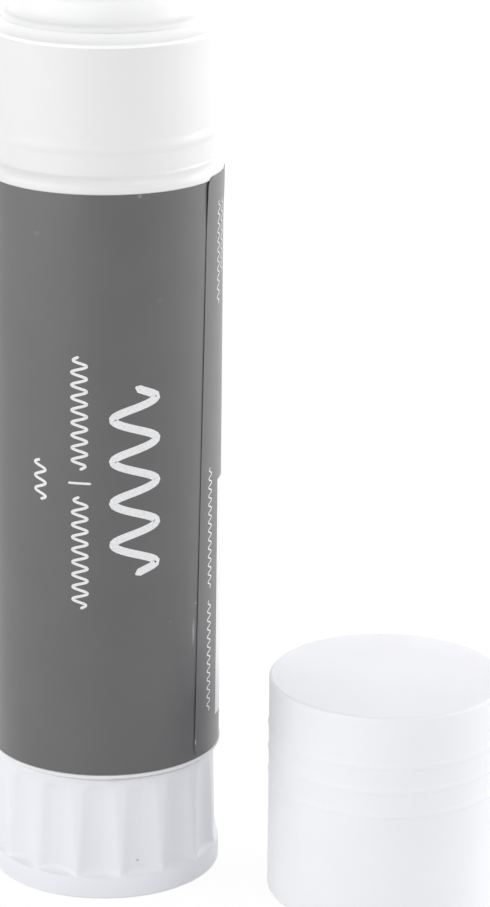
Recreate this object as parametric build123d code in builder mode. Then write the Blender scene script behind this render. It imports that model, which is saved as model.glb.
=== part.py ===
"""A large twist-up glue stick, standing open, with its push-on cap on the floor beside it.

Millimetres, +Z up. The origin is the centre of the knob's foot, on the stick's own axis.
The camera side is -Y. Turning the knob turns the spindle, and the carrier climbs it with the glue.
"""

import os
from math import cos, radians, sin

from build123d import *

os.makedirs("parts", exist_ok=True)

# Barrel: label seat between two low lips, rounded shoulder, neck with a snap bead
knob_gap = 0.25
bore_radius = 12.7
neck_wall = 1.15
neck_height = 16.25
rim_edge_radius = 1.0
rim_inner_radius = 0.12
shoulder_width = 0.95
shoulder_drop = 1.4
neck_foot_radius = 0.4
lip_edge_radius = 0.22
bottom_lip_height = 0.55
top_lip_height = 1.9
label_seat_depth = 0.2
label_seat_height = 75.05
bead_rise = 3.4
bead_width = 2.0
bead_height = 0.2
barrel_floor_thickness = 1.4
spigot_gap = 0.3
spigot_wall = 1.0
spigot_height = 3.0
guide_rib_count = 4
guide_rib_width = 1.2
guide_rib_height = 0.6
guide_rib_end_drop = 10.2

# Knob: a closed-bottomed cup with sixteen grip flutes that end on a ledge above a flared foot
knob_height = 16.2
knob_wall = 1.44
knob_floor_thickness = 1.0
foot_setback = 0.05
foot_wall_height = 1.6
foot_height = 2.85
flare_height = 4.0
foot_edge_radius = 0.35
foot_ring_width = 2.55
foot_recess_depth = 0.6
grip_setback = 0.76
grip_lean = 0.38
flute_count = 16
flute_radius = 6.6
flute_depth = 0.72
flute_end_radius = 3.0
flute_end_drop = 0.75
flute_phase = 18.95
hub_wall = 1.6
web_count = 6
web_thickness = 1.0
web_height = 9.0

# Spindle: hexagonal shank in the knob, journal in the barrel's floor, collar, screw up the middle
screw_radius = 3.5
screw_pitch = 6.0
screw_end_drop = 10.2
screw_tip_chamfer = 0.8
journal_radius = 3.0
journal_gap = 0.1
collar_width = 3.0
collar_thickness = 1.2
thrust_gap = 0.1
shank_end_gap = 2.6
shank_sides = 6

# Carrier: the cup under the glue, with the nut in its middle
turns_down = 0.5
carrier_margin = 1.85
carrier_height = 11.0
carrier_floor_thickness = 1.2
carrier_wall = 1.2
slide_gap = 0.1
nut_gap = 0.1
nut_wall = 1.6
nut_height = 9.0
notch_gap = 0.2

# Glue: cast in the carrier, with a stepped top that stands above the barrel's rim
cast_gap = 0.05
glue_bore_gap = 0.3
glue_hole_margin = 0.5
glue_shoulder_rise = 1.5
glue_shoulder_edge_radius = 0.7
glue_stage_gap = 0.26
glue_stage_height = 3.3
glue_stage_edge_radius = 1.0
glue_stage_foot_radius = 0.55

# Label: one turn of film in the seat, lapped over itself at the seam
label_thickness = 0.1
label_margin = 0.1
label_lap_width = 6.0
label_seam_angle = -34.8

# Cap: push-on, with ring ribs outside, a snap groove and a seal ring inside
cap_headroom = 11.35
cap_wall = 0.92
cap_top_thickness = 1.1
cap_fit_gap = 0.1
cap_seat_gap = 0.2
cap_draft = 0.3
cap_draft_height = 12.0
cap_top_edge_radius = 1.2
cap_mouth_edge_radius = 0.25
cap_groove_gap = 0.1
cap_groove_width = 2.4
seal_gap = 0.2
seal_wall = 1.2
seal_depth = 1.4
ring_rib_count = 3
ring_rib_pitch = 3.25
ring_rib_drop = 5.9
ring_rib_width = 1.3
ring_rib_height = 0.13
cap_stand_gap = 7.33
cap_stand_angle = -15.84

# Levels up the stick, worked out from the sizes above
knob_floor_top = foot_recess_depth + knob_floor_thickness
shank_bottom = knob_floor_top + shank_end_gap
barrel_bottom = knob_height + knob_gap
spigot_bottom = barrel_bottom - spigot_height
barrel_floor_top = barrel_bottom + barrel_floor_thickness
seat_bottom = barrel_bottom + bottom_lip_height
seat_top = seat_bottom + label_seat_height
shoulder_level = seat_top + top_lip_height
bead_level = shoulder_level + bead_rise
rim_level = shoulder_level + neck_height
guide_rib_top = rim_level - guide_rib_end_drop
collar_bottom = barrel_floor_top + thrust_gap
collar_top = collar_bottom + collar_thickness
screw_top = rim_level - screw_end_drop
travel_down = turns_down * screw_pitch
carrier_bottom = collar_top + travel_down + carrier_margin
carrier_floor_top = carrier_bottom + carrier_floor_thickness
carrier_top = carrier_bottom + carrier_height
nut_top = carrier_bottom + nut_height
glue_shoulder_level = rim_level + glue_shoulder_rise
glue_top = glue_shoulder_level + glue_stage_height

# Radii that follow from a neighbour, a wall or a clearance
neck_radius = bore_radius + neck_wall
lip_radius = neck_radius + shoulder_width
seat_radius = lip_radius - label_seat_depth
foot_radius = lip_radius - foot_setback
foot_recess_radius = foot_radius - foot_ring_width
grip_top_radius = lip_radius - grip_setback
grip_bottom_radius = grip_top_radius + grip_lean
knob_bore_radius = grip_top_radius - knob_wall
hub_radius = journal_radius + hub_wall
spigot_radius = knob_bore_radius - spigot_gap
journal_hole_radius = journal_radius + journal_gap
collar_radius = journal_radius + collar_width
carrier_radius = bore_radius - slide_gap
carrier_bore_radius = carrier_radius - carrier_wall
nut_bore_radius = screw_radius + nut_gap
nut_radius = nut_bore_radius + nut_wall
notch_radius = bore_radius - guide_rib_height - notch_gap
notch_width = guide_rib_width + notch_gap + notch_gap
label_radius = seat_radius + label_thickness
cap_bore_radius = neck_radius + cap_fit_gap
cap_radius = cap_bore_radius + cap_wall
cap_groove_radius = neck_radius + bead_height + cap_groove_gap
seal_radius = bore_radius - seal_gap
seal_bore_radius = seal_radius - seal_wall
glue_bore_radius = screw_radius + glue_bore_gap
glue_stage_radius = seal_bore_radius - glue_stage_gap


# Barrel
# The floor web carries the spindle, and the spigot below it centres the knob.
with BuildPart() as barrel:
    with BuildSketch(Plane.XZ) as barrel_profile:
        with BuildLine():
            shoulder_foot = (lip_radius, shoulder_level - shoulder_drop)
            neck_foot = (neck_radius, shoulder_level)
            Polyline((bore_radius, rim_level), (neck_radius, rim_level), neck_foot)
            TangentArc(shoulder_foot, neck_foot, tangent=(0, 1))
            Polyline(
                shoulder_foot,
                (lip_radius, seat_top),
                (seat_radius, seat_top),
                (seat_radius, seat_bottom),
                (lip_radius, seat_bottom),
                (lip_radius, barrel_bottom),
                (spigot_radius, barrel_bottom),
                (spigot_radius, spigot_bottom),
                (spigot_radius - spigot_wall, spigot_bottom),
                (spigot_radius - spigot_wall, barrel_bottom),
                (journal_hole_radius, barrel_bottom),
                (journal_hole_radius, barrel_floor_top),
                (bore_radius, barrel_floor_top),
                (bore_radius, rim_level),
            )
        make_face()
        rim_corners = barrel_profile.vertices().group_by(Axis.Y)[-1].sort_by(Axis.X)
        fillet(rim_corners[-1], rim_edge_radius)
        fillet(barrel_profile.vertices().group_by(Axis.Y)[-1].sort_by(Axis.X)[0], rim_inner_radius)
        lip_corners = barrel_profile.vertices().group_by(Axis.X)[-1].sort_by(Axis.Y)
        fillet(lip_corners[0], lip_edge_radius)
        fillet(barrel_profile.vertices().sort_by_distance((*neck_foot, 0))[0], neck_foot_radius)
    revolve(axis=Axis.Z)

    # The snap bead swells out of the neck and runs back into it without an edge
    with BuildSketch(Plane.XZ):
        with BuildLine():
            bead_low = (neck_radius, bead_level - bead_width / 2)
            bead_high = (neck_radius, bead_level + bead_width / 2)
            flank_low = (neck_radius + bead_height / 2, bead_level - bead_width / 4)
            flank_high = (neck_radius + bead_height / 2, bead_level + bead_width / 4)
            TangentArc(bead_low, flank_low, tangent=(0, 1))
            ThreePointArc(flank_low, (neck_radius + bead_height, bead_level), flank_high)
            TangentArc(bead_high, flank_high, tangent=(0, -1))
            Polyline(
                bead_high,
                (bore_radius + bead_height, bead_high[1]),
                (bore_radius + bead_height, bead_low[1]),
                bead_low,
            )
        make_face()
    revolve(axis=Axis.Z)

    # Guide ribs run up the bore and stop the carrier from turning
    with BuildSketch(Plane.XY.offset(barrel_floor_top)):
        with PolarLocations(bore_radius, guide_rib_count):
            Rectangle(2 * guide_rib_height, guide_rib_width)
    extrude(amount=guide_rib_top - barrel_floor_top)

barrel.part.label = "barrel"
export_step(barrel.part, "parts/barrel.step")


# Label
# Film lies in the seat just clear of both lips, and its outer end laps over its inner end.
with BuildPart() as label:
    with BuildSketch(Plane.XY.offset(seat_bottom + label_margin)):
        Circle(label_radius)
        Circle(seat_radius, mode=Mode.SUBTRACT)
    extrude(amount=label_seat_height - 2 * label_margin)

    lap_angle = label_lap_width / radians(1) / label_radius
    with BuildSketch(Plane.XY.offset(seat_bottom + label_margin)):
        with BuildLine():
            lap_outer = CenterArc((0, 0), label_radius + label_thickness, label_seam_angle, lap_angle)
            lap_inner = CenterArc((0, 0), label_radius, label_seam_angle, lap_angle)
            Line(lap_outer @ 0, lap_inner @ 0)
            Line(lap_outer @ 1, lap_inner @ 1)
        make_face()
    extrude(amount=label_seat_height - 2 * label_margin)

label.part.label = "label"
export_step(label.part, "parts/label.step")


# Flute cutter
# A post that stands upright beside the knob. The grip leans in towards its top, so the
# cut is deepest at the ledge, and the cutter's rounded end lets it fade out under the collar.
flute_axis_radius = grip_bottom_radius - flute_depth + flute_radius
flute_cut_top = knob_height - flute_end_drop
flute_end_depth = grip_top_radius - (grip_bottom_radius - flute_depth)
flute_end_fade = (2 * flute_end_radius * flute_end_depth - flute_end_depth**2) ** 0.5
cutter_top = flute_cut_top + flute_end_radius - flute_end_fade

with BuildPart() as flute_cutter:
    with BuildSketch(Plane.XY.offset(foot_height)):
        with Locations((flute_axis_radius, 0)):
            Circle(flute_radius)
    extrude(amount=cutter_top - foot_height)
    fillet(flute_cutter.edges().group_by(Axis.Z)[-1], flute_end_radius)


# Knob
with BuildPart() as knob:
    with BuildSketch(Plane.XZ) as knob_profile:
        with BuildLine():
            flare_foot = (foot_radius, foot_wall_height)
            grip_foot = (grip_bottom_radius, flare_height)
            Polyline(
                (0, foot_recess_depth),
                (foot_recess_radius, foot_recess_depth),
                (foot_recess_radius, 0),
                (foot_radius, 0),
                flare_foot,
            )
            TangentArc(flare_foot, grip_foot, tangent=(0, 1))
            Polyline(
                grip_foot,
                (grip_top_radius, knob_height),
                (knob_bore_radius, knob_height),
                (knob_bore_radius, knob_floor_top),
                (hub_radius, knob_floor_top),
                (hub_radius, knob_height),
                (0, knob_height),
                (0, foot_recess_depth),
            )
        make_face()
        foot_corners = knob_profile.vertices().group_by(Axis.X)[-1].sort_by(Axis.Y)
        fillet(foot_corners[0], foot_edge_radius)
    revolve(axis=Axis.Z)

    # Sixteen concave flutes round the grip
    with PolarLocations(0, flute_count, start_angle=flute_phase):
        add(flute_cutter.part, mode=Mode.SUBTRACT)

    # Webs tie the hub to the wall below the barrel's spigot
    with BuildSketch(Plane.XY.offset(knob_floor_top)):
        with PolarLocations((hub_radius + knob_bore_radius) / 2, web_count):
            Rectangle(knob_bore_radius - hub_radius + web_thickness, web_thickness)
    extrude(amount=web_height)

    # Hexagonal socket down the hub for the spindle's shank
    with BuildSketch(Plane.XY.offset(shank_bottom)):
        RegularPolygon(journal_radius, shank_sides)
    extrude(amount=knob_height - shank_bottom, mode=Mode.SUBTRACT)

knob.part.label = "knob"
export_step(knob.part, "parts/knob.step")


# Spindle
# The screw is drawn at its crest radius. The collar rests on the barrel's floor and the
# shank is pressed into the knob, so the two hold the floor between them.
with BuildPart() as spindle:
    with BuildSketch(Plane.XY.offset(shank_bottom)):
        RegularPolygon(journal_radius, shank_sides)
    extrude(amount=knob_height - shank_bottom)

    with BuildSketch(Plane.XZ) as spindle_profile:
        with BuildLine():
            Polyline(
                (0, knob_height),
                (journal_radius, knob_height),
                (journal_radius, collar_bottom),
                (collar_radius, collar_bottom),
                (collar_radius, collar_top),
                (screw_radius, collar_top),
                (screw_radius, screw_top),
                (0, screw_top),
                close=True,
            )
        make_face()
        chamfer(spindle_profile.vertices().group_by(Axis.Y)[-1].sort_by(Axis.X)[-1], screw_tip_chamfer)
    revolve(axis=Axis.Z)

spindle.part.label = "spindle"
export_step(spindle.part, "parts/spindle.step")


# Carrier
with BuildPart() as carrier:
    with BuildSketch(Plane.XZ):
        with BuildLine():
            Polyline(
                (nut_bore_radius, carrier_bottom),
                (carrier_radius, carrier_bottom),
                (carrier_radius, carrier_top),
                (carrier_bore_radius, carrier_top),
                (carrier_bore_radius, carrier_floor_top),
                (nut_radius, carrier_floor_top),
                (nut_radius, nut_top),
                (nut_bore_radius, nut_top),
                close=True,
            )
        make_face()
    revolve(axis=Axis.Z)

    # Notches that ride on the barrel's guide ribs
    with BuildSketch(Plane.XY.offset(carrier_bottom)):
        with PolarLocations(bore_radius, guide_rib_count):
            Rectangle(2 * (bore_radius - notch_radius), notch_width)
    extrude(amount=carrier_height, mode=Mode.SUBTRACT)

carrier.part.label = "carrier"
export_step(carrier.part, "parts/carrier.step")


# Glue
# It fills the carrier's cup, clears the screw up the middle, and is notched for the guide
# ribs as far up as they reach when the carrier is at its lowest.
glue_hole_top = screw_top + travel_down + glue_hole_margin
glue_notch_top = guide_rib_top + travel_down + glue_hole_margin

with BuildPart() as glue:
    with BuildSketch(Plane.XZ) as glue_profile:
        with BuildLine():
            Polyline(
                (nut_radius + cast_gap, carrier_floor_top),
                (carrier_bore_radius - cast_gap, carrier_floor_top),
                (carrier_bore_radius - cast_gap, carrier_top),
                (carrier_radius, carrier_top),
                (carrier_radius, glue_shoulder_level),
                (glue_stage_radius, glue_shoulder_level),
                (glue_stage_radius, glue_top),
                (0, glue_top),
                (0, glue_hole_top),
                (glue_bore_radius, glue_hole_top),
                (glue_bore_radius, nut_top + cast_gap),
                (nut_radius + cast_gap, nut_top + cast_gap),
                close=True,
            )
        make_face()
        column_corners = glue_profile.vertices().group_by(Axis.X)[-1].sort_by(Axis.Y)
        fillet(column_corners[-1], glue_shoulder_edge_radius)
        stage_corners = glue_profile.vertices().group_by(Axis.Y)[-1].sort_by(Axis.X)
        fillet(stage_corners[-1], glue_stage_edge_radius)
        stage_foot = (glue_stage_radius, glue_shoulder_level, 0)
        fillet(glue_profile.vertices().sort_by_distance(stage_foot)[0], glue_stage_foot_radius)
    revolve(axis=Axis.Z)

    with BuildSketch(Plane.XY.offset(carrier_top)):
        with PolarLocations(bore_radius, guide_rib_count):
            Rectangle(2 * (bore_radius - notch_radius), notch_width)
    extrude(amount=glue_notch_top - carrier_top, mode=Mode.SUBTRACT)

glue.part.label = "glue"
export_step(glue.part, "parts/glue.step")


# Cap
# It stands mouth down beside the stick. Its wall is upright for most of its height and
# leans in a little towards the top.
cap_distance = lip_radius + cap_stand_gap + cap_radius
cap_origin = (
    cap_distance * cos(radians(cap_stand_angle)),
    cap_distance * sin(radians(cap_stand_angle)),
    0,
)
cap_plane = Plane(origin=cap_origin, x_dir=(1, 0, 0), z_dir=(0, -1, 0))
cap_axis = Axis(cap_origin, (0, 0, 1))
cap_height = neck_height - cap_seat_gap + cap_headroom + cap_top_thickness
cap_draft_start = cap_height - cap_draft_height
cap_ceiling = cap_height - cap_top_thickness
cap_groove_level = bead_rise - cap_seat_gap
seal_bottom = neck_height - cap_seat_gap - seal_depth


def cap_wall_radius(level):
    """The cap's outer radius at a height above its mouth."""
    return cap_radius - cap_draft * max(0, level - cap_draft_start) / cap_draft_height


with BuildPart() as cap:
    with BuildSketch(cap_plane) as cap_profile:
        with BuildLine():
            Polyline(
                (cap_bore_radius, 0),
                (cap_radius, 0),
                (cap_radius, cap_draft_start),
                (cap_wall_radius(cap_height), cap_height),
                (0, cap_height),
                (0, cap_ceiling),
                (seal_bore_radius, cap_ceiling),
                (seal_bore_radius, seal_bottom),
                (seal_radius, seal_bottom),
                (seal_radius, cap_ceiling),
                (cap_bore_radius, cap_ceiling),
                close=True,
            )
        make_face()
        fillet(
            cap_profile.vertices().group_by(Axis.Y)[-1].sort_by(Axis.X)[-1], cap_top_edge_radius
        )
        fillet(cap_profile.vertices().group_by(Axis.Y)[0].sort_by(Axis.X)[-1], cap_mouth_edge_radius)
    revolve(axis=cap_axis)

    # Ring ribs round the outside, highest one first
    with BuildSketch(cap_plane):
        for number in range(ring_rib_count):
            level = cap_height - ring_rib_drop - number * ring_rib_pitch
            low = level - ring_rib_width / 2
            high = level + ring_rib_width / 2
            with BuildLine():
                ThreePointArc(
                    (cap_wall_radius(low), low),
                    (cap_wall_radius(level) + ring_rib_height, level),
                    (cap_wall_radius(high), high),
                )
                Polyline(
                    (cap_wall_radius(high), high),
                    (cap_radius - cap_wall / 2, high),
                    (cap_radius - cap_wall / 2, low),
                    (cap_wall_radius(low), low),
                )
            make_face()
    revolve(axis=cap_axis)

    # Groove that snaps over the neck's bead
    with BuildSketch(cap_plane):
        with BuildLine():
            groove_low = (cap_bore_radius, cap_groove_level - cap_groove_width / 2)
            groove_high = (cap_bore_radius, cap_groove_level + cap_groove_width / 2)
            ThreePointArc(groove_low, (cap_groove_radius, cap_groove_level), groove_high)
            Line(groove_high, groove_low)
        make_face()
    revolve(axis=cap_axis, mode=Mode.SUBTRACT)

cap.part.label = "cap"
export_step(cap.part, "parts/cap.step")

print("travel of the carrier below the rest pose:", travel_down)
print("glue top above the foot:", round(glue_top, 2))
print("cap stands at:", [round(value, 2) for value in cap_origin])
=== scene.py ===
# %% [markdown]
# # A twist-up glue stick with its cap off
# This file dresses a small mechanical model for a product picture. The shapes come from a CAD model that
# is already packed as a frame, so every size is fixed before Blender starts. We load that frame, give the
# barrel and the carrier their finish, and swap five pieces for finer meshes: the label, which is a lapped
# film, the knob, whose flutes have soft edges, the glue, whose steps meet in a hollow, the cap, whose
# rings are soft bumps, and the spindle, which needs its screw thread.

# %% Load the frame and keep its box
from math import cos, exp, hypot, pi, radians, sin, sqrt

import bmesh
import bpy
from mathutils import Matrix, Vector


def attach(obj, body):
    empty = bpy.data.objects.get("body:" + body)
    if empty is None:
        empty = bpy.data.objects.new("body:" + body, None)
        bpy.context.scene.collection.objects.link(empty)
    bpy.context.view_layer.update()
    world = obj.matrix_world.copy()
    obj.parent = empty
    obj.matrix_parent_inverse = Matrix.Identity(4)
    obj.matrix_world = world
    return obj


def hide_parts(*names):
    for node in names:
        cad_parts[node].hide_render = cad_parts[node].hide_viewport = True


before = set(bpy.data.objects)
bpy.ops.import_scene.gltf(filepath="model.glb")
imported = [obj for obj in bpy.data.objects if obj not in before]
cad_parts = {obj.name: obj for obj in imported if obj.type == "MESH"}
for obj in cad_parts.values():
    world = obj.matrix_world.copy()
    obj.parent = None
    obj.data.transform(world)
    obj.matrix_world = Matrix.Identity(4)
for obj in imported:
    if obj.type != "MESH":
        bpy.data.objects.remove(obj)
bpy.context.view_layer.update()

MM = 0.001
print("pieces in the frame:", sorted(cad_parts))

# %% [markdown]
# ## The camera
# A product shot is taken from a distance with a long lens, so that upright edges stay nearly parallel.
# The camera stands in front of the stick, a little above it, and looks down on it. It turns slightly to
# the right, because the stick fills the left of the picture and the cap the right. We build its rotation
# from three directions instead of angles, which avoids any doubt about their order.

# %% Camera
camera_place = Vector((0, -0.4233, 0.19006))
camera_yaw, camera_pitch, camera_roll = 0.0419, 0.3089, 0.0103
camera_lens = 139.2

level_ahead = Vector((sin(camera_yaw), cos(camera_yaw), 0))
ahead = level_ahead * cos(camera_pitch) - Vector((0, 0, sin(camera_pitch)))
level_right = Vector((cos(camera_yaw), -sin(camera_yaw), 0))
level_up = level_right.cross(ahead)
camera_x = cos(camera_roll) * level_right + sin(camera_roll) * level_up
camera_y = cos(camera_roll) * level_up - sin(camera_roll) * level_right

camera = bpy.data.objects.new("camera", bpy.data.cameras.new("camera"))
camera.data.lens = camera_lens
camera.data.clip_start = 0.01
camera_turn = Matrix((camera_x, camera_y, -ahead)).transposed().to_4x4()
camera.matrix_world = Matrix.Translation(camera_place) @ camera_turn
bpy.context.scene.collection.objects.link(camera)
bpy.context.scene.camera = camera
print("camera to the stick's foot, mm:", round(camera_place.length / MM))

# %% [markdown]
# ## Floor and background
# The picture has a pure white background, and the object still has to stand on something. The floor is
# pale, takes shadows and throws light back up, as a real table does. What the camera and mirror rays see
# of it is lifted to white by a Light Path node, and a share of the lit floor is kept, so that the contact
# shadow stays. The world does the same: it is plain white to the camera, and a softer fill elsewhere.

# %% Shader helpers
def add_node(tree, kind, inputs=None, **settings):
    """A shader node. Inputs go by socket name or number, and may be values or other nodes' outputs."""
    node = tree.nodes.new(kind)
    for name, value in settings.items():
        setattr(node, name, value)
    for socket, value in (inputs or {}).items():
        if isinstance(value, bpy.types.NodeSocket):
            tree.links.new(value, node.inputs[socket])
        else:
            node.inputs[socket].default_value = value
    return node


def calculate(tree, operation, *values):
    """A Math node's result."""
    return add_node(tree, "ShaderNodeMath", dict(enumerate(values)), operation=operation).outputs[0]


def rescale(tree, value, low, high, to_low, to_high):
    """A Map Range node's result."""
    ends = {"Value": value, "From Min": low, "From Max": high, "To Min": to_low, "To Max": to_high}
    return add_node(tree, "ShaderNodeMapRange", ends).outputs[0]


def blend_colours(tree, share, under, over):
    """A Mix node's colour."""
    return add_node(tree, "ShaderNodeMix", {0: share, 6: under, 7: over}, data_type="RGBA").outputs[2]


def blend_shaders(tree, share, under, over):
    """A Mix Shader node's result."""
    ends = {0: share, 1: under.outputs[0], 2: over.outputs[0]}
    return add_node(tree, "ShaderNodeMixShader", ends).outputs[0]


def noise(tree, place, scale, detail):
    """A Noise Texture's grey value, with its scale per metre."""
    texture = {"Vector": place, "Scale": scale, "Detail": detail}
    return add_node(tree, "ShaderNodeTexNoise", texture).outputs["Fac"]


def new_finish(name):
    """A material with a Principled BSDF: the material, its node tree and that shader's inputs."""
    material = bpy.data.materials.new(name)
    material.use_nodes = True
    tree = material.node_tree
    return material, tree, tree.nodes["Principled BSDF"].inputs


def seen_directly(tree):
    """1 for camera, glossy and transmission rays, 0 for the rest."""
    rays = add_node(tree, "ShaderNodeLightPath").outputs
    seen = calculate(tree, "MAXIMUM", rays["Is Camera Ray"], rays["Is Glossy Ray"])
    return calculate(tree, "MAXIMUM", seen, rays["Is Transmission Ray"])


def new_tree(data):
    """The empty node tree of a material or world."""
    data.use_nodes = True
    data.node_tree.nodes.clear()
    return data.node_tree


# %% Floor
FLOOR_RADIUS = 2.5
FLOOR_LIFT, LIFTED_SHARE = 1.04, 0.84

floor_bm = bmesh.new()
bmesh.ops.create_circle(floor_bm, cap_ends=True, segments=96, radius=FLOOR_RADIUS)
floor = bpy.data.objects.new("floor", bpy.data.meshes.new("floor"))
floor_bm.to_mesh(floor.data)
floor_bm.free()
bpy.context.scene.collection.objects.link(floor)

floor_paint = bpy.data.materials.new("floor_paint")
tree = new_tree(floor_paint)
lit_floor = add_node(tree, "ShaderNodeBsdfDiffuse", {"Color": (0.9, 0.9, 0.9, 1)})
white_floor = add_node(tree, "ShaderNodeEmission", {"Strength": FLOOR_LIFT})
share = calculate(tree, "MULTIPLY", seen_directly(tree), LIFTED_SHARE)
mixed = blend_shaders(tree, share, lit_floor, white_floor)
add_node(tree, "ShaderNodeOutputMaterial", {"Surface": mixed})
floor.data.materials.append(floor_paint)
print("floor radius, m:", FLOOR_RADIUS)

# %% World
FILL_LIGHT = 0.55

world = bpy.data.worlds.new("studio")
bpy.context.scene.world = world
tree = new_tree(world)
backdrop = add_node(tree, "ShaderNodeBackground", {"Strength": 1.0, "Color": (1, 1, 1, 1)})
fill = add_node(tree, "ShaderNodeBackground", {"Strength": FILL_LIGHT, "Color": (0.97, 0.98, 1.0, 1)})
mixed = blend_shaders(tree, seen_directly(tree), fill, backdrop)
add_node(tree, "ShaderNodeOutputWorld", {"Surface": mixed})
bpy.context.scene.view_settings.view_transform = "Standard"

# %% [markdown]
# ## Soft boxes
# A round, half glossy thing such as this label shows its lights as upright bands. A wide box on the left
# and two narrower ones on the right leave a darker gap between them, and that models the roundness. One
# of the two stands a little behind the stick and lights its right edge. A high box in front, to the
# right, draws the glints on the shoulder, the bead and the cap's rings. A wide box behind lights both
# edges, and a large faint one overhead lights the faces that look up. Each lamp is set by the brightness
# of its face, because that is what a reflection shows: a lamp of power P and area A has a face of
# brightness P / (pi A).

# %% Soft boxes
AIM = Vector((0.012, 0, 0.055))


def soft_box(name, turn, height, distance, size, brightness):
    """An area lamp at a turn to the right of the camera's side, facing the middle of the two pieces."""
    lamp = bpy.data.lights.new(name, "AREA")
    lamp.shape = "RECTANGLE"
    lamp.size, lamp.size_y = size
    lamp.energy = brightness * pi * size[0] * size[1]
    box = bpy.data.objects.new(name, lamp)
    box.location = AIM + Vector((distance * sin(radians(turn)), -distance * cos(radians(turn)), height))
    box.rotation_euler = (AIM - box.location).to_track_quat("-Z", "Y").to_euler()
    bpy.context.scene.collection.objects.link(box)
    print(f"{name}: {lamp.energy:.2f} W")


# name, turn, height, distance, size, brightness
soft_box("box_left", -58, 0.11, 0.75, (1.3, 0.28), 3.1)
soft_box("box_front", 43, 0.57, 0.6, (0.6, 0.4), 1.6)
soft_box("box_right", 80, 0.13, 0.75, (0.6, 0.3), 1.6)
soft_box("box_edge", 112, 0.2, 0.75, (0.5, 0.4), 3.8)
soft_box("box_back", 180, 0.2, 0.7, (2.0, 0.3), 1.8)
soft_box("box_top", 0, 1.1, 0.02, (1.6, 1.6), 0.175)

# %% [markdown]
# ## Moulded plastic
# The barrel, knob and cap are satin polypropylene. Its surface is a fine spark-eroded grain from the
# mould, with slow waves where the plastic sank as it cooled, and a little light travels inside it, which
# softens every edge. One function makes all the whites. They differ in tint: the knob is bluer than the
# barrel, and the cap lies between them. A few dark specks are what a moulding shop calls contamination.

# %% Plastic
GRAIN_SIZE, GRAIN_DEPTH = 0.0004, 0.000004
WAVE_SIZE, WAVE_DEPTH = 0.011, 0.00003
CLOUDS_PER_METRE, TOUCHES_PER_METRE = 55.0, 160.0
SPECK_COLOUR = (0.1, 0.09, 0.1, 1)


def surface_waves(tree, place):
    """Two bumps, one on top of the other: fine grain and slow waves."""
    waves = noise(tree, place, 1 / WAVE_SIZE, 1.0)
    slow = add_node(tree, "ShaderNodeBump", {"Distance": WAVE_DEPTH, "Height": waves}).outputs[0]
    grain = noise(tree, place, 1 / GRAIN_SIZE, 2.0)
    fine = {"Distance": GRAIN_DEPTH, "Height": grain, "Normal": slow}
    return add_node(tree, "ShaderNodeBump", fine).outputs[0]


def plastic(name, tint, roughness=0.4, inside_light=0.12, reach=0.0012, specks=()):
    """Satin moulded plastic. Light travels as far as reach inside. specks are (place, radius, darkness)."""
    material, tree, shader = new_finish(name)
    place = add_node(tree, "ShaderNodeTexCoord").outputs["Object"]

    clouds = rescale(tree, noise(tree, place, CLOUDS_PER_METRE, 3.0), 0.35, 0.65, 0, 1)
    duller, brighter = [v * 0.985 for v in tint], [min(1, v * 1.01) for v in tint]
    colour = blend_colours(tree, clouds, (*duller, 1), (*brighter, 1))
    for centre, radius, darkness in specks:
        away = add_node(tree, "ShaderNodeVectorMath", {0: place, 1: centre}, operation="DISTANCE")
        mark = rescale(tree, away.outputs["Value"], radius, radius * 0.3, 0, darkness)
        colour = blend_colours(tree, mark, colour, SPECK_COLOUR)
    tree.links.new(colour, shader["Base Color"])

    touches = noise(tree, place, TOUCHES_PER_METRE, 4.0)
    tree.links.new(rescale(tree, touches, 0.3, 0.7, roughness - 0.04, roughness + 0.05), shader["Roughness"])
    tree.links.new(surface_waves(tree, place), shader["Normal"])
    shader["IOR"].default_value = 1.49
    shader["Subsurface Weight"].default_value = inside_light
    shader["Subsurface Radius"].default_value = (1, 1, 1)
    shader["Subsurface Scale"].default_value = reach
    return material


knob_specks = [((0.00401, -0.01312, 0.0047), 0.00026, 0.45)]
cap_specks = [((0.0361, -0.02, 0.0285), 0.00022, 0.25), ((0.0373, -0.0136, 0.0285), 0.00025, 0.15)]

barrel_white = plastic("barrel_white", (0.724, 0.722, 0.715))
knob_white = plastic("knob_white", (0.75, 0.754, 0.785), specks=knob_specks)
cap_white = plastic("cap_white", (0.79, 0.79, 0.813), roughness=0.52, specks=cap_specks)
inner_white = plastic("inner_white", (0.76, 0.76, 0.74), roughness=0.45)

for node, material in (("barrel", barrel_white), ("carrier", inner_white)):
    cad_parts[node].data.materials.clear()
    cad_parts[node].data.materials.append(material)
    print(node, "is finished in", material.name)

# %% [markdown]
# ## Glue
# A glue stick is a soap gel: white, waxy and a little translucent, duller than the plastic, and faintly
# uneven because it dries and shrinks. More light travels inside it than in the plastic, so it gets the
# larger share of subsurface scattering. A thin smear of it has no inside to speak of, and gets none. The
# smear's tint is lighter than the glue's: painted light from above.

# %% Glue
glue_wax = plastic("glue_wax", (0.825, 0.823, 0.817), roughness=0.5, inside_light=0.6, reach=0.002)
# The smear's lighter tint than the glue it is made of is painted light from above on the rim.
smear_white_painted_light = plastic("smear_white_painted_light", (0.897, 0.895, 0.887), inside_light=0.0)

# %% [markdown]
# ## Finishing a new piece
# Each new mesh is drawn in millimetres and brought to metres at the end. It then rides on the body of
# the frame that carries it, takes a named finish, and may stand for a piece of the frame. Edges sharper
# than a set angle stay crisp, and everything else shades smoothly.

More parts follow.
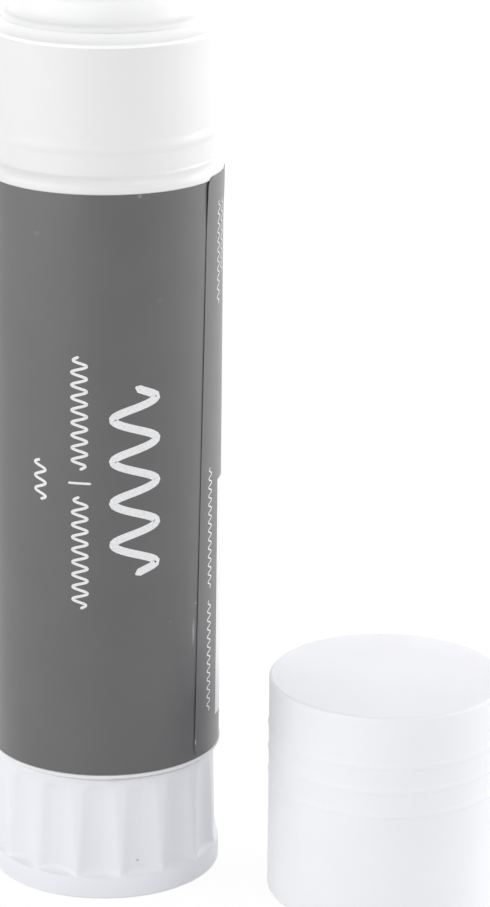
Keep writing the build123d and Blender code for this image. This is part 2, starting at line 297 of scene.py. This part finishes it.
# %% Finishing helper
def finish_piece(bm, name, body, material, stands_for=(), crisp=40):
    """Makes the mesh of a bmesh in millimetres an object that rides on a body and has its finish."""
    bmesh.ops.scale(bm, vec=(MM, MM, MM), verts=bm.verts)
    for face in bm.faces:
        face.smooth = True
    mesh = bpy.data.meshes.new(name)
    bm.to_mesh(mesh)
    bm.free()
    mesh.set_sharp_from_angle(angle=radians(crisp))
    piece = bpy.data.objects.new(name, mesh)
    bpy.context.scene.collection.objects.link(piece)
    mesh.materials.append(material)
    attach(piece, body)
    if stands_for:
        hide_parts(*stands_for)
    print(f"{name}: {len(mesh.polygons)} faces")
    return piece


def smooth_step(low, high, value):
    """0 at low and beyond it, 1 at high and beyond it, and a smooth change between them."""
    share = min(1, max(0, (value - low) / (high - low)))
    return share * share * (3 - 2 * share)


def round_the_stick(turn, radius, height):
    """A point at a turn in degrees to the right of the stick's front."""
    return Vector((radius * sin(radians(turn)), -radius * cos(radians(turn)), height))


# %% [markdown]
# ## Label film
# The label is one strip of printed film, wrapped once round the barrel and stuck down over its own inner
# end. Its free edge is a little slanted, has rounded corners, sits about half a millimetre high, and does
# not lie quite flat, so a dark line of shadow runs along it. A cylinder could not show any of that. We
# take a flat grid, as the film is before it is applied, and bend it: a column's place along the strip
# gives its turn round the stick, and its radius says whether it lies on the barrel or on the film below.

# %% Film sizes
# Lengths are in millimetres and turns in degrees. A run is counted round the stick from the free edge.
LAP = 23.4
FILM, UNDER_LAP = 0.07, 0.012
SEAT_RADIUS, LIP_RADIUS = 14.62, 14.83
FILM_LOW, FILM_HIGH = 17.06, 91.92
SEAM_TURN, SEAM_LEAN = 49.6, 8.8
CORNER_ROUND = 1.2
EDGE_RISE, RISE_RUN = 0.52, 55
LOOSE_RUN, PINCH_HEIGHT, PINCH_REACH = 11, 24, 4


def seam_turn(height):
    """The free edge's turn, in degrees to the right of the front."""
    share = (height - FILM_LOW) / (FILM_HIGH - FILM_LOW)
    return SEAM_TURN + SEAM_LEAN * share


def run_to(turn, height):
    """The run from the free edge to a turn on the stick."""
    return (turn - seam_turn(height)) % 360


def along_strip(run):
    """Millimetres along the strip from its free edge."""
    return run * radians(1) * SEAT_RADIUS


def film_shift(run):
    """How much higher the film sits near its free edge."""
    return EDGE_RISE * exp(-((run / RISE_RUN) ** 2))


def film_inner_radius(run, height, top):
    """Radius of the film's sticky side, where the film's upper edge is at top."""
    # it lies on its own inner end along the lap, and on the upper lip where its edge reaches over that
    on_film = SEAT_RADIUS + (FILM + UNDER_LAP) * (1 - smooth_step(LAP + 1, LAP + 16, run))
    over_lip = smooth_step(85, 91.9, height) * smooth_step(91.98, 92.15, top)
    radius = on_film + max(0, LIP_RADIUS - on_film) * over_lip
    pinched = exp(-(((height - PINCH_HEIGHT) / PINCH_REACH) ** 2))
    loose = 0.01 + 0.008 * sin(height * 0.2) + 0.06 * pinched
    return radius + loose * max(0, 1 - run / LOOSE_RUN) ** 2


print("flat length of the film, mm:", round(along_strip(360 + LAP), 2))

# %% Film bent round the stick
CROWDING = 1.8


def film_point(run, share_up):
    """A point of the film's sticky side. share_up goes from its lower edge to its upper one."""
    low, top = FILM_LOW + film_shift(run) * 0.4, FILM_HIGH + film_shift(run)
    high = top
    from_corner = CORNER_ROUND - along_strip(run)
    if from_corner > 0:
        cut = CORNER_ROUND - sqrt(max(0, CORNER_ROUND**2 - from_corner**2))
        low, high = low + cut, high - cut
    height = low + (high - low) * share_up
    return round_the_stick(seam_turn(height) + run, film_inner_radius(run, height, top), height)


def run_at(share):
    """The run at a share of the strip. The grid's columns crowd towards the free edge."""
    return (360 + LAP) * share**CROWDING


bm = bmesh.new()
bmesh.ops.create_grid(bm, x_segments=420, y_segments=96, size=0.5, calc_uvs=False)
film_uv = bm.loops.layers.uv.new("film")
for face in bm.faces:
    for loop in face.loops:
        loop[film_uv].uv = (loop.vert.co.x + 0.5, loop.vert.co.y + 0.5)
for vert in bm.verts:
    vert.co = film_point(run_at(vert.co.x + 0.5), vert.co.y + 0.5)
for face in bm.faces:
    for loop in face.loops:
        loop[film_uv].uv = (along_strip(run_at(loop[film_uv].uv.x)) * MM, loop.vert.co.z * MM)
print("film before it gets its thickness, faces:", len(bm.faces))

# %% [markdown]
# ## Film finish
# The film is printed a flat mid grey and varnished half matt. Seen close it is not one colour: the ink
# is grainy, the varnish is handled and varies in gloss, and there are small scuffs. The film has its own
# map, in metres along the strip and up it, so the grain follows the strip. Marks that belong to one
# place, such as a pinched crease beside the free edge, are soft ellipses on that map. A light spot at
# the free edge's lower corner and the paler colour of the crease and a nick are painted highlights. The
# sticky side is a second, darker material, seen in the shadow under the loose edge; its dark colour is
# painted shade there.

# %% Printed side of the film
DOTS_PER_METRE, MOTTLE_PER_METRE, HANDLING_PER_METRE = 3800.0, 140.0, 90.0
INK_DARK, INK_PALE = (0.068, 0.067, 0.068, 1), (0.078, 0.076, 0.078, 1)
# Of these three colours the last two are painted highlights; the scuff colour is wear.
SCUFF_COLOUR, PAINTED_GLINT_COLOUR, CREASE_GLINT_COLOUR = (0.5, 0.48, 0.44, 1), (0.7, 0.7, 0.72, 1), (0.5, 0.5, 0.52, 1)
DOT_DEPTH, CREASE_DEPTH = 0.000003, 0.00006


def film_spot(tree, strip, turn, height, half_wide, half_high, strength):
    """A soft ellipse on the film's map, at a turn and height on the stick, half sizes in millimetres."""
    centre = (along_strip(run_to(turn, height)) * MM, height * MM)
    half_size = (half_wide * MM, half_high * MM)
    moved = [-c / h for c, h in zip(centre, half_size)] + [0]
    scaled = [1 / h for h in half_size] + [0]
    to_spot = {"Vector": strip, "Location": moved, "Scale": scaled}
    away = add_node(tree, "ShaderNodeMapping", to_spot).outputs[0]
    length = add_node(tree, "ShaderNodeVectorMath", {0: away}, operation="LENGTH").outputs["Value"]
    return rescale(tree, length, 1, 0, 0, strength)


grey_film, tree, shader = new_finish("grey_film")
strip = add_node(tree, "ShaderNodeTexCoord").outputs["UV"]

dots = noise(tree, strip, DOTS_PER_METRE, 2.0)
mottle = noise(tree, strip, MOTTLE_PER_METRE, 4.0)
from_dots = rescale(tree, dots, 0.3, 0.7, -0.35, 0.35)
from_mottle = rescale(tree, mottle, 0.3, 0.7, 0.1, 0.9)
colour = blend_colours(tree, calculate(tree, "ADD", from_dots, from_mottle), INK_DARK, INK_PALE)

# turn, height, half width, half height, strength
scuffs = [
    (-33.5, 86.7, 0.5, 0.35, 0.1),
    (27.1, 78.5, 0.45, 0.5, 0.06),
    (16.8, 91.7, 0.35, 0.35, 0.3),
    (33.3, 36.7, 0.25, 0.25, 0.12),
]
for scuff in scuffs:
    colour = blend_colours(tree, film_spot(tree, strip, *scuff), colour, SCUFF_COLOUR)
# A painted highlight at the lower corner of the free edge, where the lifted edge catches the light.
painted_glint = film_spot(tree, strip, 50.6, 19.3, 0.14, 0.5, 0.8)
colour = blend_colours(tree, painted_glint, colour, PAINTED_GLINT_COLOUR)
# The crease and the nick are raised by a bump, and their paler colour is a painted highlight.
crease = film_spot(tree, strip, 48.6, 34.4, 0.32, 2.3, 1)
nick = film_spot(tree, strip, 50.7, 38.1, 0.45, 0.16, 1)
marks = calculate(tree, "MAXIMUM", crease, nick)
colour = blend_colours(tree, calculate(tree, "MULTIPLY", marks, 0.35), colour, CREASE_GLINT_COLOUR)
tree.links.new(colour, shader["Base Color"])

touches = noise(tree, strip, HANDLING_PER_METRE, 5.0)
tree.links.new(rescale(tree, touches, 0.3, 0.7, 0.46, 0.54), shader["Roughness"])
raised = add_node(tree, "ShaderNodeBump", {"Distance": CREASE_DEPTH, "Height": marks}).outputs[0]
fine = {"Distance": DOT_DEPTH, "Height": dots, "Normal": raised}
grain = add_node(tree, "ShaderNodeBump", fine).outputs[0]
tree.links.new(grain, shader["Normal"])
shader["IOR"].default_value = 1.5
shader["Coat Weight"].default_value = 0.8
shader["Coat Roughness"].default_value = 0.35
tree.links.new(grain, shader["Coat Normal"])
print("marks on the film:", len(scuffs) + 3)

# %% Sticky side of the film
DRIED_PER_METRE = 400.0

sticky_side_painted_shade, tree, shader = new_finish("sticky_side_painted_shade")
strip = add_node(tree, "ShaderNodeTexCoord").outputs["UV"]
dried = noise(tree, strip, DRIED_PER_METRE, 3.0)
# The sticky side's dark colour is painted shade for the gap under the loose edge; the noise is dried
# adhesive.
colour = blend_colours(tree, dried, (0.06, 0.06, 0.063, 1), (0.08, 0.078, 0.08, 1))
tree.links.new(colour, shader["Base Color"])
shader["Roughness"].default_value = 0.7

# %% Film with its thickness
def radius_of(vert):
    """A vertex's distance from the stick's axis."""
    return hypot(vert.co.x, vert.co.y)


def widen(vert, share):
    """Makes a vertex's distance from the stick's axis that many times what it was."""
    vert.co.x, vert.co.y = vert.co.x * share, vert.co.y * share


def thicken(bm, thickness):
    """Gives a sheet round the stick its thickness, outwards, and closes its edges."""
    bmesh.ops.recalc_face_normals(bm, faces=bm.faces)
    made = bmesh.ops.extrude_face_region(bm, geom=list(bm.faces), use_keep_orig=True)["geom"]
    for vert in made:
        if isinstance(vert, bmesh.types.BMVert):
            widen(vert, 1 + thickness / radius_of(vert))
    bmesh.ops.recalc_face_normals(bm, faces=bm.faces)


thicken(bm, FILM)
for face in bm.faces:
    middle = face.calc_center_median()
    outward = (face.normal.x * middle.x + face.normal.y * middle.y) / hypot(middle.x, middle.y)
    face.material_index = 1 if outward < -0.5 else 0
film = finish_piece(bm, "label_film", "barrel", grey_film, ["label"], crisp=50)
film.data.materials.append(sticky_side_painted_shade)
radii = [radius_of(vert) / MM for vert in film.data.vertices]
print("film radius from", round(min(radii), 3), "to", round(max(radii), 3), "mm")

# %% [markdown]
# ## Print
# The film's print is white and plain: one bold wave runs up the label, finer waves stand in columns, and
# a bare panel fills one side. Each is a flat ribbon, laid on the film and given the thickness of a layer
# of ink, so it shows as a mesh and not only as a texture.

# %% Ribbons of ink
INK, INK_GAP = 0.012, 0.008
MM_PER_DEGREE = radians(1) * (SEAT_RADIUS + FILM)


def lay_on_film(across, height):
    """A place on the film's face: across is millimetres round from the front, to the right."""
    turn = across / MM_PER_DEGREE
    run = run_to(turn, height)
    top = FILM_HIGH + film_shift(run)
    return round_the_stick(turn, film_inner_radius(run, height, top) + FILM + INK_GAP, height)


def ribbon(bm, line, width, steps):
    """A ribbon with round ends along line, a function of 0 to 1 that gives (across, height)."""
    made = bmesh.ops.create_grid(bm, x_segments=steps, y_segments=2, size=0.5)["verts"]
    points = [Vector(line(step / steps)) for step in range(steps + 1)]
    runs = [0.0]
    for before, after in zip(points, points[1:]):
        runs.append(runs[-1] + (after - before).length)
    for vert in made:
        step = round((vert.co.x + 0.5) * steps)
        along = (points[min(step + 1, steps)] - points[max(step - 1, 0)]).normalized()
        half = width / 2
        from_end = min(runs[step], runs[-1] - runs[step])
        if from_end < half:
            half = max(0.2 * half, sqrt(half**2 - (half - from_end) ** 2))
        place = points[step] + Vector((-along.y, along.x)) * 2 * vert.co.y * half
        vert.co = lay_on_film(place.x, place.y)


def scribble(across, low, high, swing, waves):
    """A wave up the label, calmer at its two ends."""
    def line(share):
        calm = smooth_step(0, 0.06, share) * smooth_step(1, 0.94, share)
        wave = swing * sin(2 * pi * waves * share) * (0.55 + 0.45 * calm)
        return across + wave, low + (high - low) * share
    return line


# %% Lines
BOLD, MIDDLE, FINE = 1.0, 0.36, 0.17
FINE_SWING, FINE_WAVE = 0.42, 1.25
BLOCK_LEFT, BLOCK_STEP, BLOCK_LOW, BLOCK_HIGH = 27.0, 2.1, 58.5, 88.0

white_lines = [
    # across, low, high, swing, waves, width
    (3.77, 43.7, 67.9, 2.8, 4.5, BOLD),
    (-3.15, 39.3, 53.9, 0.95, 9, MIDDLE),
    (-3.15, 57.4, 71.8, 0.95, 9, MIDDLE),
    (-8.4, 53.0, 58.2, 0.75, 3, MIDDLE),
    (16.0, 22.6, 37.6, FINE_SWING, 13, FINE),
    (16.1, 39.2, 55.2, FINE_SWING, 14, FINE),
    (18.4, 75.8, 89.0, FINE_SWING, 11, FINE),
    (19.9, 79.5, 89.0, FINE_SWING, 8, FINE),
]
for number in range(9):
    low = BLOCK_LOW + (number * 7 % 5) * 1.3
    waves = round((BLOCK_HIGH - low) / FINE_WAVE)
    white_lines.append((BLOCK_LEFT + number * BLOCK_STEP, low, BLOCK_HIGH, FINE_SWING, waves, FINE))

bm = bmesh.new()
for across, low, high, swing, waves, width in white_lines:
    ribbon(bm, scribble(across, low, high, swing, waves), width, steps=int(waves * 20) + 8)
ribbon(bm, lambda share: (-4.6 + 2.9 * share, 55.65), width=0.3, steps=24)
print("lines on the label:", len(white_lines) + 1)

# %% Panel
PANEL_LEFT, PANEL_WIDE, PANEL_SLANT = 18.4, 19.0, 0.25
PANEL_LOW, PANEL_TALL = 21.2, 31.7

made = bmesh.ops.create_grid(bm, x_segments=60, y_segments=12, size=0.5)["verts"]
for vert in made:
    share_right, share_up = vert.co.x + 0.5, vert.co.y + 0.5
    across = PANEL_LEFT + PANEL_SLANT * share_up + share_right * PANEL_WIDE
    vert.co = lay_on_film(across, PANEL_LOW + share_up * PANEL_TALL)
thicken(bm, INK)

# %% White ink
COVER_PER_METRE = 5000.0

white_ink, tree, shader = new_finish("white_ink")
place = add_node(tree, "ShaderNodeTexCoord").outputs["Object"]
cover = rescale(tree, noise(tree, place, COVER_PER_METRE, 2.0), 0.3, 0.7, 0, 1)
colour = blend_colours(tree, cover, (0.66, 0.66, 0.67, 1), (0.78, 0.78, 0.79, 1))
tree.links.new(colour, shader["Base Color"])
shader["Roughness"].default_value = 0.42
finish_piece(bm, "label_print", "barrel", white_ink, crisp=50)

# %% [markdown]
# ## Knob
# The knob's grip has sixteen hollow flutes, cut by an upright round cutter, with narrow soft ridges
# between them. The cutter stops short of the collar, so each flute ends in an arc there, and a ledge at
# its foot. Cutting sixteen cylinders with booleans leaves razor edges. Instead we spin the plain cup and
# push the grip's vertices in: a vertex goes to the smaller of two radii, the grip's and the cutter's,
# and where the two are nearly equal they are blended. That blend is the soft ridge. Above the ledge the
# cut fades in over a third of a millimetre, which softens the ledge's edge too.

# %% Turned shapes
def spin_profile(bm, profile, steps):
    """Spins an outline of (radius, height) round the stick's axis and closes the poles."""
    known = set(bm.verts)
    corners = [bm.verts.new((radius, 0, height)) for radius, height in profile]
    edges = [bm.edges.new(pair) for pair in zip(corners, corners[1:])]
    bmesh.ops.spin(
        bm, geom=corners + edges, steps=steps, angle=2 * pi,
        cent=(0, 0, 0), axis=(0, 0, 1), use_merge=True,
    )
    fresh = [vert for vert in bm.verts if vert not in known]
    bmesh.ops.remove_doubles(bm, verts=fresh, dist=1e-4)
    return [vert for vert in bm.verts if vert not in known]


def arc(centre, radius, start, end, pieces):
    """Points of an arc in an outline, angles in degrees from the outward direction."""
    angles = [radians(start + (end - start) * piece / pieces) for piece in range(pieces + 1)]
    return [(centre[0] + radius * cos(angle), centre[1] + radius * sin(angle)) for angle in angles]


def turn_of(vert):
    """A vertex's angle round the stick's axis, in degrees, and 0 for one on the axis."""
    return (180 / pi) * Vector((vert.co.x, vert.co.y)).angle_signed(Vector((1, 0)), 0)


def flatten_to_hexagon(vert):
    """Moves a vertex of a round wall to the hexagon whose corners lie on that wall."""
    off = turn_of(vert) % 60 - 30
    widen(vert, cos(radians(30)) / cos(radians(off)))


# %% Grip of the knob
KNOB_HEIGHT = 16.2
FOOT_RADIUS, FOOT_WALL = 14.75, 1.6
LEDGE_HEIGHT, FLARE_HEIGHT = 2.82, 4.0
GRIP_LOW, GRIP_HIGH = 14.42, 14.04
CUTTER_AXIS, CUTTER_RADIUS, CUTTER_END, CUTTER_ROUND = 20.3, 6.6, 14.063, 3.0
FLUTES, FLUTE_PHASE = 16, 18.95
RIDGE_BLEND, LEDGE_BLEND = 0.2, 0.32


def plain_radius(height):
    """The knob's radius without its flutes: a flared foot under a grip that leans in."""
    if height > FLARE_HEIGHT:
        return GRIP_LOW + (GRIP_HIGH - GRIP_LOW) * (height - FLARE_HEIGHT) / (KNOB_HEIGHT - FLARE_HEIGHT)
    rise, width = FLARE_HEIGHT - FOOT_WALL, FOOT_RADIUS - GRIP_LOW
    bend = (rise**2 + width**2) / (2 * width)
    return FOOT_RADIUS - bend + sqrt(bend**2 - max(0, height - FOOT_WALL) ** 2)


def grip_radius(angle, height):
    """The plain radius with the flutes taken off and the ridges blended."""
    plain = plain_radius(height)
    step = 360 / FLUTES
    off = radians((angle - FLUTE_PHASE + step / 2) % step - step / 2)
    above = max(0, height - CUTTER_END)
    cutter = CUTTER_RADIUS - CUTTER_ROUND + sqrt(max(0, CUTTER_ROUND**2 - above**2))
    inside = cutter**2 - (CUTTER_AXIS * sin(off)) ** 2
    if inside <= 0:
        return plain
    cut = CUTTER_AXIS * cos(off) - sqrt(inside)
    blend = max(RIDGE_BLEND - abs(plain - cut), 0) / RIDGE_BLEND
    above_ledge = 1 - exp(-max(0, height - LEDGE_HEIGHT) / LEDGE_BLEND)
    return plain + (min(plain, cut) - blend * blend * RIDGE_BLEND / 4 - plain) * above_ledge


half_way = KNOB_HEIGHT / 2
flute_depth = plain_radius(half_way) - grip_radius(FLUTE_PHASE, half_way)
print("depth of a flute at half height, mm:", round(flute_depth, 2))

# %% Cup of the knob
CUP_BORE, WEB_TOP = 12.6, 1.6
EDGE_ROUND = 0.35

underside = [(0, 0.42), (1.0, 0.42), (1.15, 0.6), (11.9, 0.6)]
underside += [(12.1, 0.52), (12.2, 0.3), (12.3, 0.08), (12.45, 0)]
foot_levels = [FOOT_WALL, 2.1, 2.5, 2.7]
ledge_levels = [LEDGE_HEIGHT, 2.84, 2.87, 2.92, 3.0, 3.2, 3.5, 3.75, 3.95, 4.1, 4.4]
flute_levels = [4.9, 5.8, 7, 8.4, 9.8, 11.2, 12.4, 13.3, 13.9, 14.3, 14.6]
collar_levels = [14.8 + 0.1 * step for step in range(10)]

profile = underside + arc((FOOT_RADIUS - EDGE_ROUND, EDGE_ROUND), EDGE_ROUND, -90, 0, 5)
for levels in (foot_levels, ledge_levels, flute_levels, collar_levels):
    profile += [(plain_radius(level), level) for level in levels]
profile += arc((GRIP_HIGH - EDGE_ROUND, KNOB_HEIGHT - EDGE_ROUND), EDGE_ROUND, 0, 90, 6)
profile += [(CUP_BORE, KNOB_HEIGHT), (CUP_BORE, WEB_TOP), (0, WEB_TOP)]

# only the grip is pushed in: it lies outside the bore, above the ledge and below the rounded top edge
bm = bmesh.new()
for vert in spin_profile(bm, profile, 480):
    between_edges = LEDGE_HEIGHT < vert.co.z < KNOB_HEIGHT - 0.4
    if between_edges and radius_of(vert) > CUP_BORE + 0.9:
        widen(vert, grip_radius(turn_of(vert), vert.co.z) / radius_of(vert))

# %% Hub and ribs of the knob
HUB_RADIUS, HUB_LOW = 4.6, 1.4
HEX_RADIUS, HEX_LOW = 3, 4.2
RIB_MIDDLE, RIB_SIZE = (8.6, 0, 6), (8.6, 1.0, 9.2, 1)

hub = [(0, HUB_LOW), (HUB_RADIUS, HUB_LOW), (HUB_RADIUS, KNOB_HEIGHT)]
hub += [(HEX_RADIUS, KNOB_HEIGHT), (HEX_RADIUS, HEX_LOW), (0, HEX_LOW)]
for vert in spin_profile(bm, hub, 48):
    if abs(radius_of(vert) - HEX_RADIUS) < 0.1:
        flatten_to_hexagon(vert)
for number in range(6):
    turned = Matrix.Rotation(radians(60 * number), 4, "Z") @ Matrix.Translation(RIB_MIDDLE)
    bmesh.ops.create_cube(bm, size=1, matrix=turned @ Matrix.Diagonal(RIB_SIZE))
bmesh.ops.recalc_face_normals(bm, faces=bm.faces)
finish_piece(bm, "fluted_knob", "knob", knob_white, ["knob"], crisp=50)

# %% [markdown]
# ## The glue column
# The glue was cast in the carrier's cup and rides up the barrel on it, so it has the cup's shape below,
# a hole for the screw, and four grooves that the barrel's guide ribs keep in it. Its top is a stage on a
# shoulder, with a wide hollow between them where the mould's seal sat. We make it in one mesh, because
# light that travels inside the wax must not stop at a seam.

# %% Outline of the glue
GLUE_RADIUS = 12.6
STEP_HEIGHT, STEP_ROUND = 111.7, 0.7
STAGE_RADIUS, STAGE_TOP, STAGE_ROUND = 11.04, 115.0, 1.0
HOLLOW_WIDE, HOLLOW_TALL = 0.84, 1.25
CUP_RADIUS, CUP_FLOOR, CUP_TOP = 11.35, 25.2, 35.0
NUT_RADIUS, NUT_TOP = 5.25, 33.05
HOLE_RADIUS, HOLE_TOP = 3.8, 103.5

outline = [(0, HOLE_TOP), (HOLE_RADIUS, HOLE_TOP), (HOLE_RADIUS, NUT_TOP), (NUT_RADIUS, NUT_TOP)]
outline += [(NUT_RADIUS, CUP_FLOOR), (CUP_RADIUS, CUP_FLOOR), (CUP_RADIUS, CUP_TOP)]
outline += [(GLUE_RADIUS, level) for level in (CUP_TOP, 58, 81, HOLE_TOP, HOLE_TOP + 0.05, 108, 110)]
outline += arc((GLUE_RADIUS - STEP_ROUND, STEP_HEIGHT - STEP_ROUND), STEP_ROUND, 0, 85, 8)
for angle in [radians(90 * step / 10) for step in range(11)]:
    radius = STAGE_RADIUS + HOLLOW_WIDE * (1 - sin(angle))
    outline.append((radius, STEP_HEIGHT + HOLLOW_TALL * (1 - cos(angle))))
outline += arc((STAGE_RADIUS - STAGE_ROUND, STAGE_TOP - STAGE_ROUND), STAGE_ROUND, 0, 90, 8)
outline += [(7, STAGE_TOP), (0, STAGE_TOP)]
print("points of the outline:", len(outline))

# %% Glue column
GROOVES, GROOVE_HALF_DEGREES, GROOVE_FLOOR = 4, 3.64, 11.9

bm = bmesh.new()
for vert in spin_profile(bm, outline, 480):
    off = (turn_of(vert) + 180 / GROOVES) % (360 / GROOVES) - 180 / GROOVES
    on_side = vert.co.z < HOLE_TOP + 0.01 and radius_of(vert) > GLUE_RADIUS - 0.1
    if on_side and abs(off) < GROOVE_HALF_DEGREES:
        widen(vert, GROOVE_FLOOR / GLUE_RADIUS)
bmesh.ops.recalc_face_normals(bm, faces=bm.faces)
finish_piece(bm, "glue_column", "carrier", glue_wax, ["glue"], crisp=60)

# %% [markdown]
# ## Squeezed-out glue
# The glue is wound up through the rim and pressed on paper, so a little of it is always squeezed out
# over the rim's round edge and dries there as a soft slope with a fine lip. It stays on the barrel when
# the glue moves. It takes the hard dark line out of the corner between the rim and the glue.

# %% Smear on the rim
RIM_HEIGHT, BORE_RADIUS = 110.2, 12.7
SMEAR_INNER, SMEAR_RISE = GLUE_RADIUS + 0.02, 0.84
FINE_LIP, FINE_LIP_ROUND = (13.52, RIM_HEIGHT - 0.55), 0.345

outline = [(SMEAR_INNER, RIM_HEIGHT + SMEAR_RISE), (13.62, RIM_HEIGHT - 0.3)]
outline += arc(FINE_LIP, FINE_LIP_ROUND, 50, -50, 6)
outline += [(13.5, RIM_HEIGHT - 0.85), (BORE_RADIUS + 0.1, RIM_HEIGHT - 0.5)]
outline += [(SMEAR_INNER, RIM_HEIGHT - 0.6)]
bm = bmesh.new()
spin_profile(bm, outline + outline[:1], 384)
bmesh.ops.recalc_face_normals(bm, faces=bm.faces)
finish_piece(bm, "glue_smear", "barrel", smear_white_painted_light, crisp=60)

# %% [markdown]
# ## Cap
# The cap is one turned outline: a nearly upright wall, a crisp top edge, three low rings round the
# outside, and inside a groove that snaps over the neck's bead and a ring that seals the glue. The rings
# are soft bumps, so only the side that faces a lamp shows them as short glints.

# %% Side of the cap
CAP_RADIUS, CAP_HEIGHT = 14.84, 28.72
CAP_SPREAD, CAP_SPREAD_START = 0.06, 16.5
RINGS, RING_WIDTH, RING_RISE = (22.1, 18.85, 15.6), 1.3, 0.085


def cap_side(height):
    """The cap's outer radius: a wall that widens a hair near its top, with the rings as soft bumps."""
    radius = CAP_RADIUS + CAP_SPREAD * max(0, height - CAP_SPREAD_START) / (CAP_HEIGHT - CAP_SPREAD_START)
    for level in RINGS:
        off = min(0.5, abs(height - level) / RING_WIDTH)
        radius += RING_RISE * (1 + cos(2 * pi * off)) / 2
    return radius


levels = [0.3, 6.0, 12.0, 14.8]
for level in reversed(RINGS):
    levels += [level + RING_WIDTH * (step / 16 - 0.5) for step in range(17)]
levels += [24.5, 26.5, CAP_HEIGHT - 0.5]
print("cap radius at its top, mm:", round(cap_side(CAP_HEIGHT), 2))

# %% Inside of the cap
CAP_BORE, CEILING = 13.95, 27.4
SEAL_OUTER, SEAL_INNER, SEAL_LOW = 12.5, 11.3, 14.65
SNAP_LEVEL, SNAP_WIDTH, SNAP_DEPTH = 3.2, 2.4, 0.2

outline = [(0, CEILING), (SEAL_INNER, CEILING)]
outline += [(SEAL_INNER, SEAL_LOW + 0.3), (SEAL_INNER + 0.3, SEAL_LOW)]
outline += [(SEAL_OUTER, SEAL_LOW), (SEAL_OUTER, CEILING), (CAP_BORE, CEILING)]
for share in [step / 12 for step in range(13)]:
    radius = CAP_BORE + SNAP_DEPTH * sin(pi * share)
    outline.append((radius, SNAP_LEVEL + SNAP_WIDTH * (0.5 - share)))
outline += [(CAP_BORE, 0.1), (CAP_BORE + 0.1, 0)]

# %% Cap mesh
CAP_PLACE = Vector((35.596, -10.099, 0))
MOUTH_ROUND, TOP_ROUND = 0.25, 0.42

outline += arc((CAP_RADIUS - MOUTH_ROUND, MOUTH_ROUND), MOUTH_ROUND, -90, 0, 4)
outline += [(cap_side(level), level) for level in levels]
outline += arc((cap_side(CAP_HEIGHT) - TOP_ROUND, CAP_HEIGHT - TOP_ROUND), TOP_ROUND, 0, 90, 6)
outline += [(0, CAP_HEIGHT)]
bm = bmesh.new()
for vert in spin_profile(bm, outline, 256):
    vert.co += CAP_PLACE
bmesh.ops.recalc_face_normals(bm, faces=bm.faces)
finish_piece(bm, "ringed_cap", "cap", cap_white, ["cap"], crisp=60)

# %% [markdown]
# ## Screw and nut
# The knob turns a coarse screw, and the carrier under the glue climbs it. A thread is one short outline
# that turns and sinks at the same time, so the Spin operator makes it when it is given a step along the
# axis too. This screw is left-handed: the glue rises when the knob turns anticlockwise, seen from above.
# The nut's thread is the same helix, half a pitch away, so the two never touch at any height.

# %% Thread
PITCH = 6.0
STEPS_PER_TURN, TAPER_TURNS = 48, 0.35


def thread(bm, outline, start_angle, top, turns):
    """A left-handed ridge that starts at a height and winds down, with tapered ends."""
    known = len(bm.verts)
    steps = int(turns * STEPS_PER_TURN)
    corners = [bm.verts.new((radius, 0, top + height)) for radius, height in outline]
    turned = Matrix.Rotation(radians(start_angle), 3, "Z")
    bmesh.ops.rotate(bm, verts=corners, cent=(0, 0, 0), matrix=turned)
    edges = [bm.edges.new(pair) for pair in zip(corners, corners[1:] + corners[:1])]
    bmesh.ops.spin(
        bm, geom=corners + edges, steps=steps, angle=2 * pi * turns,
        cent=(0, 0, 0), axis=(0, 0, 1), dvec=Vector((0, 0, -PITCH / STEPS_PER_TURN)),
    )
    bm.verts.ensure_lookup_table()
    root = outline[0][0]
    for place, vert in enumerate(bm.verts[known:]):
        step = place // len(corners)
        share = smooth_step(0, TAPER_TURNS * STEPS_PER_TURN, min(step, steps - step))
        radius = radius_of(vert)
        widen(vert, (root + (radius - root) * max(0.05, share)) / radius)
    bmesh.ops.holes_fill(bm, edges=[edge for edge in bm.edges if edge.is_boundary], sides=4)


# %% Screw
COLLAR_RADIUS, COLLAR_LOW, COLLAR_HIGH = 6, 17.95, 19.15
CORE_RADIUS, SCREW_TOP = 2.6, 100

bm = bmesh.new()
ridge = [(2.5, -1.5), (3.5, -0.95), (3.5, 0.95), (2.5, 1.5)]
thread(bm, ridge, start_angle=0, top=97.4, turns=12.4)
core = [(0, HEX_LOW), (HEX_RADIUS, HEX_LOW), (HEX_RADIUS, KNOB_HEIGHT)]
core += [(HEX_RADIUS, KNOB_HEIGHT + 0.02), (HEX_RADIUS, COLLAR_LOW), (COLLAR_RADIUS, COLLAR_LOW)]
core += [(COLLAR_RADIUS, COLLAR_HIGH), (CORE_RADIUS, COLLAR_HIGH)]
core += [(CORE_RADIUS, SCREW_TOP - 0.7), (CORE_RADIUS - 0.7, SCREW_TOP), (0, SCREW_TOP)]
for vert in spin_profile(bm, core, 48):
    if vert.co.z < KNOB_HEIGHT + 0.01 and radius_of(vert) > HEX_RADIUS - 0.1:
        flatten_to_hexagon(vert)
bmesh.ops.recalc_face_normals(bm, faces=bm.faces)
finish_piece(bm, "screw_spindle", "knob", inner_white, ["spindle"], crisp=35)

# %% Thread of the nut
bm = bmesh.new()
ridge = [(3.7, 1.4), (2.8, 0.9), (2.8, -0.9), (3.7, -1.4)]
thread(bm, ridge, start_angle=180, top=31.4, turns=0.95)
bmesh.ops.recalc_face_normals(bm, faces=bm.faces)
finish_piece(bm, "nut_thread", "carrier", inner_white, crisp=35)
